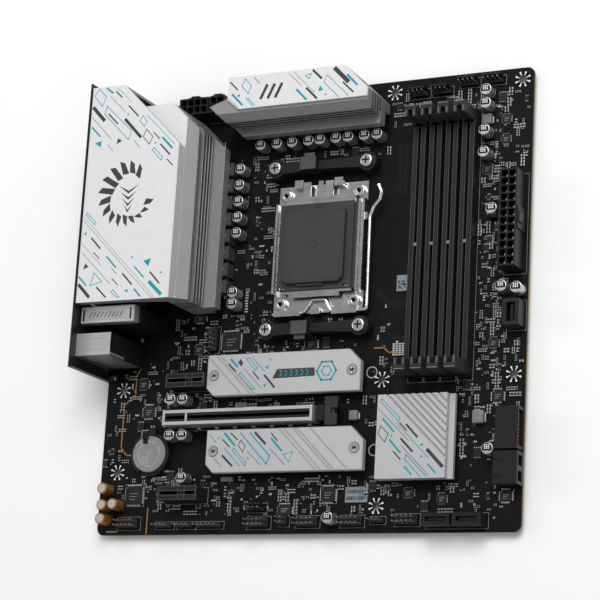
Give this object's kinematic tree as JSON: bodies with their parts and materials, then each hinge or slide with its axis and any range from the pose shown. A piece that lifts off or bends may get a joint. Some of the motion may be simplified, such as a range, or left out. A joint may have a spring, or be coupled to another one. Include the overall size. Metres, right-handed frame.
{
  "type": "computer motherboard",
  "caption": "Micro-ATX computer motherboard with a levered processor socket, memory slots, a steel-clad card slot, heatsinks over its power stage and drive bays, and a rear port block.",
  "frame": {"origin": "centre of the whole part's footprint, at its lowest face, the underside of the socket backplate", "axes": "+X from the rear port edge to the front edge, +Y from the expansion slot edge to the processor power edge, +Z out of the component side"},
  "size_m": [0.2524, 0.2462, 0.0446],
  "materials": {
    "board": "matte solder mask",
    "black_steel": "satin black coat",
    "black_plastic": "moulded, fine grain",
    "socket_plastic": "moulded",
    "steel": "nickel plated stamping",
    "screw_steel": "nickel plated",
    "cap_plastic": "moulded, fine grain",
    "slot_plastic": "moulded",
    "latch_plastic": "moulded",
    "armour_steel": "brushed",
    "tin_pins": "tin plated",
    "white_panel": "sandblasted, white",
    "grey_aluminium": "sandblasted anodised",
    "ferrite": "pressed iron powder",
    "chip_plastic": "moulded epoxy",
    "thermal_pad": "soft pad",
    "brass_standoff": "plated brass",
    "port_steel": "tin plated shell",
    "audio_plastic": "moulded",
    "cell_steel": "stainless",
    "header_plastic": "moulded",
    "capacitor_can": "drawn can",
    "amber_can": "gold sleeve"
  },
  "bodies": {
    "board": {"pcb": "board", "socket_backplate": "black_steel", "backplate_insulator": "black_plastic", "socket_housing": "socket_plastic", "socket_frame": "steel", "frame_screws": "screw_steel", "cooler_bracket_upper": "black_plastic", "cooler_bracket_lower": "black_plastic", "cooler_screws": "screw_steel", "pcie_x1_slots": "slot_plastic", "pcie_x16_slot": "slot_plastic", "pcie_x16_armour": "armour_steel", "power_pins": "tin_pins", "power_socket_24": "black_plastic", "power_socket_8": "black_plastic", "power_socket_4": "black_plastic", "io_cover": "white_panel", "vrm_heatsink_left": "grey_aluminium", "vrm_heatsink_top": "grey_aluminium", "vrm_top_plate": "white_panel", "chokes": "ferrite", "mosfets": "chip_plastic", "thermal_pads": "thermal_pad", "m2_standoffs": "brass_standoff", "m2_sockets": "slot_plastic", "chipset_chip": "chip_plastic", "chipset_heatsink": "white_panel", "chipset_pins": "black_plastic", "rear_ports": "port_steel", "audio_jacks": "audio_plastic", "wifi_module": "port_steel", "io_shield": "black_steel", "coin_cell_holder": "black_plastic", "coin_cell": "cell_steel", "sata_sockets": "black_plastic", "usb_headers": "header_plastic", "pin_headers": "header_plastic", "polymer_capacitors": "capacitor_can", "audio_capacitors": "amber_can", "ic_packages": "chip_plastic", "dimm_slot_1": "slot_plastic", "dimm_slot_2": "slot_plastic", "dimm_slot_3": "slot_plastic", "dimm_slot_4": "slot_plastic"},
    "load_lever": {"load_lever": "steel"},
    "load_plate": {"load_plate": "steel"},
    "socket_cap": {"socket_cap": "cap_plastic"},
    "pcie_catch": {"pcie_x16_catch": "slot_plastic"},
    "m2_lid_upper": {"m2_heatsink_upper": "white_panel", "m2_screws_upper": "screw_steel"},
    "m2_lid_lower": {"m2_heatsink_lower": "white_panel", "m2_screws_lower": "screw_steel"},
    "dimm_latch_low_1": {"dimm_latch_low_1": "latch_plastic"},
    "dimm_latch_top_1": {"dimm_latch_top_1": "latch_plastic"},
    "dimm_latch_low_2": {"dimm_latch_low_2": "latch_plastic"},
    "dimm_latch_top_2": {"dimm_latch_top_2": "latch_plastic"},
    "dimm_latch_low_3": {"dimm_latch_low_3": "latch_plastic"},
    "dimm_latch_top_3": {"dimm_latch_top_3": "latch_plastic"},
    "dimm_latch_low_4": {"dimm_latch_low_4": "latch_plastic"},
    "dimm_latch_top_4": {"dimm_latch_top_4": "latch_plastic"}
  },
  "joints": [
    {"name": "load_lever_hinge", "type": "hinge", "parent": "board", "child": "load_lever", "pos_m": [0.00938, -0.0059, 0.0077], "axis": [1, 0, 0], "range_deg": [0, 115]},
    {"name": "load_plate_hinge", "type": "hinge", "parent": "board", "child": "load_plate", "pos_m": [0.00938, 0.0653, 0.0077], "axis": [-1, 0, 0], "range_deg": [0, 100]},
    {"name": "socket_cap_lift", "type": "slide", "parent": "load_plate", "child": "socket_cap", "axis": [0, 0, 1], "range_m": [0, 0.015]},
    {"name": "pcie_catch_hinge", "type": "hinge", "parent": "board", "child": "pcie_catch", "pos_m": [0.02158, -0.0604, 0.0067], "axis": [0, 1, 0], "range_deg": [0, 30]},
    {"name": "m2_lid_upper_lift", "type": "slide", "parent": "board", "child": "m2_lid_upper", "axis": [0, 0, 1], "range_m": [0, 0.012]},
    {"name": "m2_lid_lower_lift", "type": "slide", "parent": "board", "child": "m2_lid_lower", "axis": [0, 0, 1], "range_m": [0, 0.012]},
    {"name": "dimm_latch_low_1_hinge", "type": "hinge", "parent": "board", "child": "dimm_latch_low_1", "pos_m": [0.06618, -0.0404, 0.0071], "axis": [1, 0, 0], "range_deg": [0, 25]},
    {"name": "dimm_latch_top_1_hinge", "type": "hinge", "parent": "board", "child": "dimm_latch_top_1", "pos_m": [0.06618, 0.0952, 0.0071], "axis": [-1, 0, 0], "range_deg": [0, 25]},
    {"name": "dimm_latch_low_2_hinge", "type": "hinge", "parent": "board", "child": "dimm_latch_low_2", "pos_m": [0.07533, -0.0404, 0.0071], "axis": [1, 0, 0], "range_deg": [0, 25]},
    {"name": "dimm_latch_top_2_hinge", "type": "hinge", "parent": "board", "child": "dimm_latch_top_2", "pos_m": [0.07533, 0.0952, 0.0071], "axis": [-1, 0, 0], "range_deg": [0, 25]},
    {"name": "dimm_latch_low_3_hinge", "type": "hinge", "parent": "board", "child": "dimm_latch_low_3", "pos_m": [0.08448, -0.0404, 0.0071], "axis": [1, 0, 0], "range_deg": [0, 25]},
    {"name": "dimm_latch_top_3_hinge", "type": "hinge", "parent": "board", "child": "dimm_latch_top_3", "pos_m": [0.08448, 0.0952, 0.0071], "axis": [-1, 0, 0], "range_deg": [0, 25]},
    {"name": "dimm_latch_low_4_hinge", "type": "hinge", "parent": "board", "child": "dimm_latch_low_4", "pos_m": [0.09363, -0.0404, 0.0071], "axis": [1, 0, 0], "range_deg": [0, 25]},
    {"name": "dimm_latch_top_4_hinge", "type": "hinge", "parent": "board", "child": "dimm_latch_top_4", "pos_m": [0.09363, 0.0952, 0.0071], "axis": [-1, 0, 0], "range_deg": [0, 25]}
  ]
}
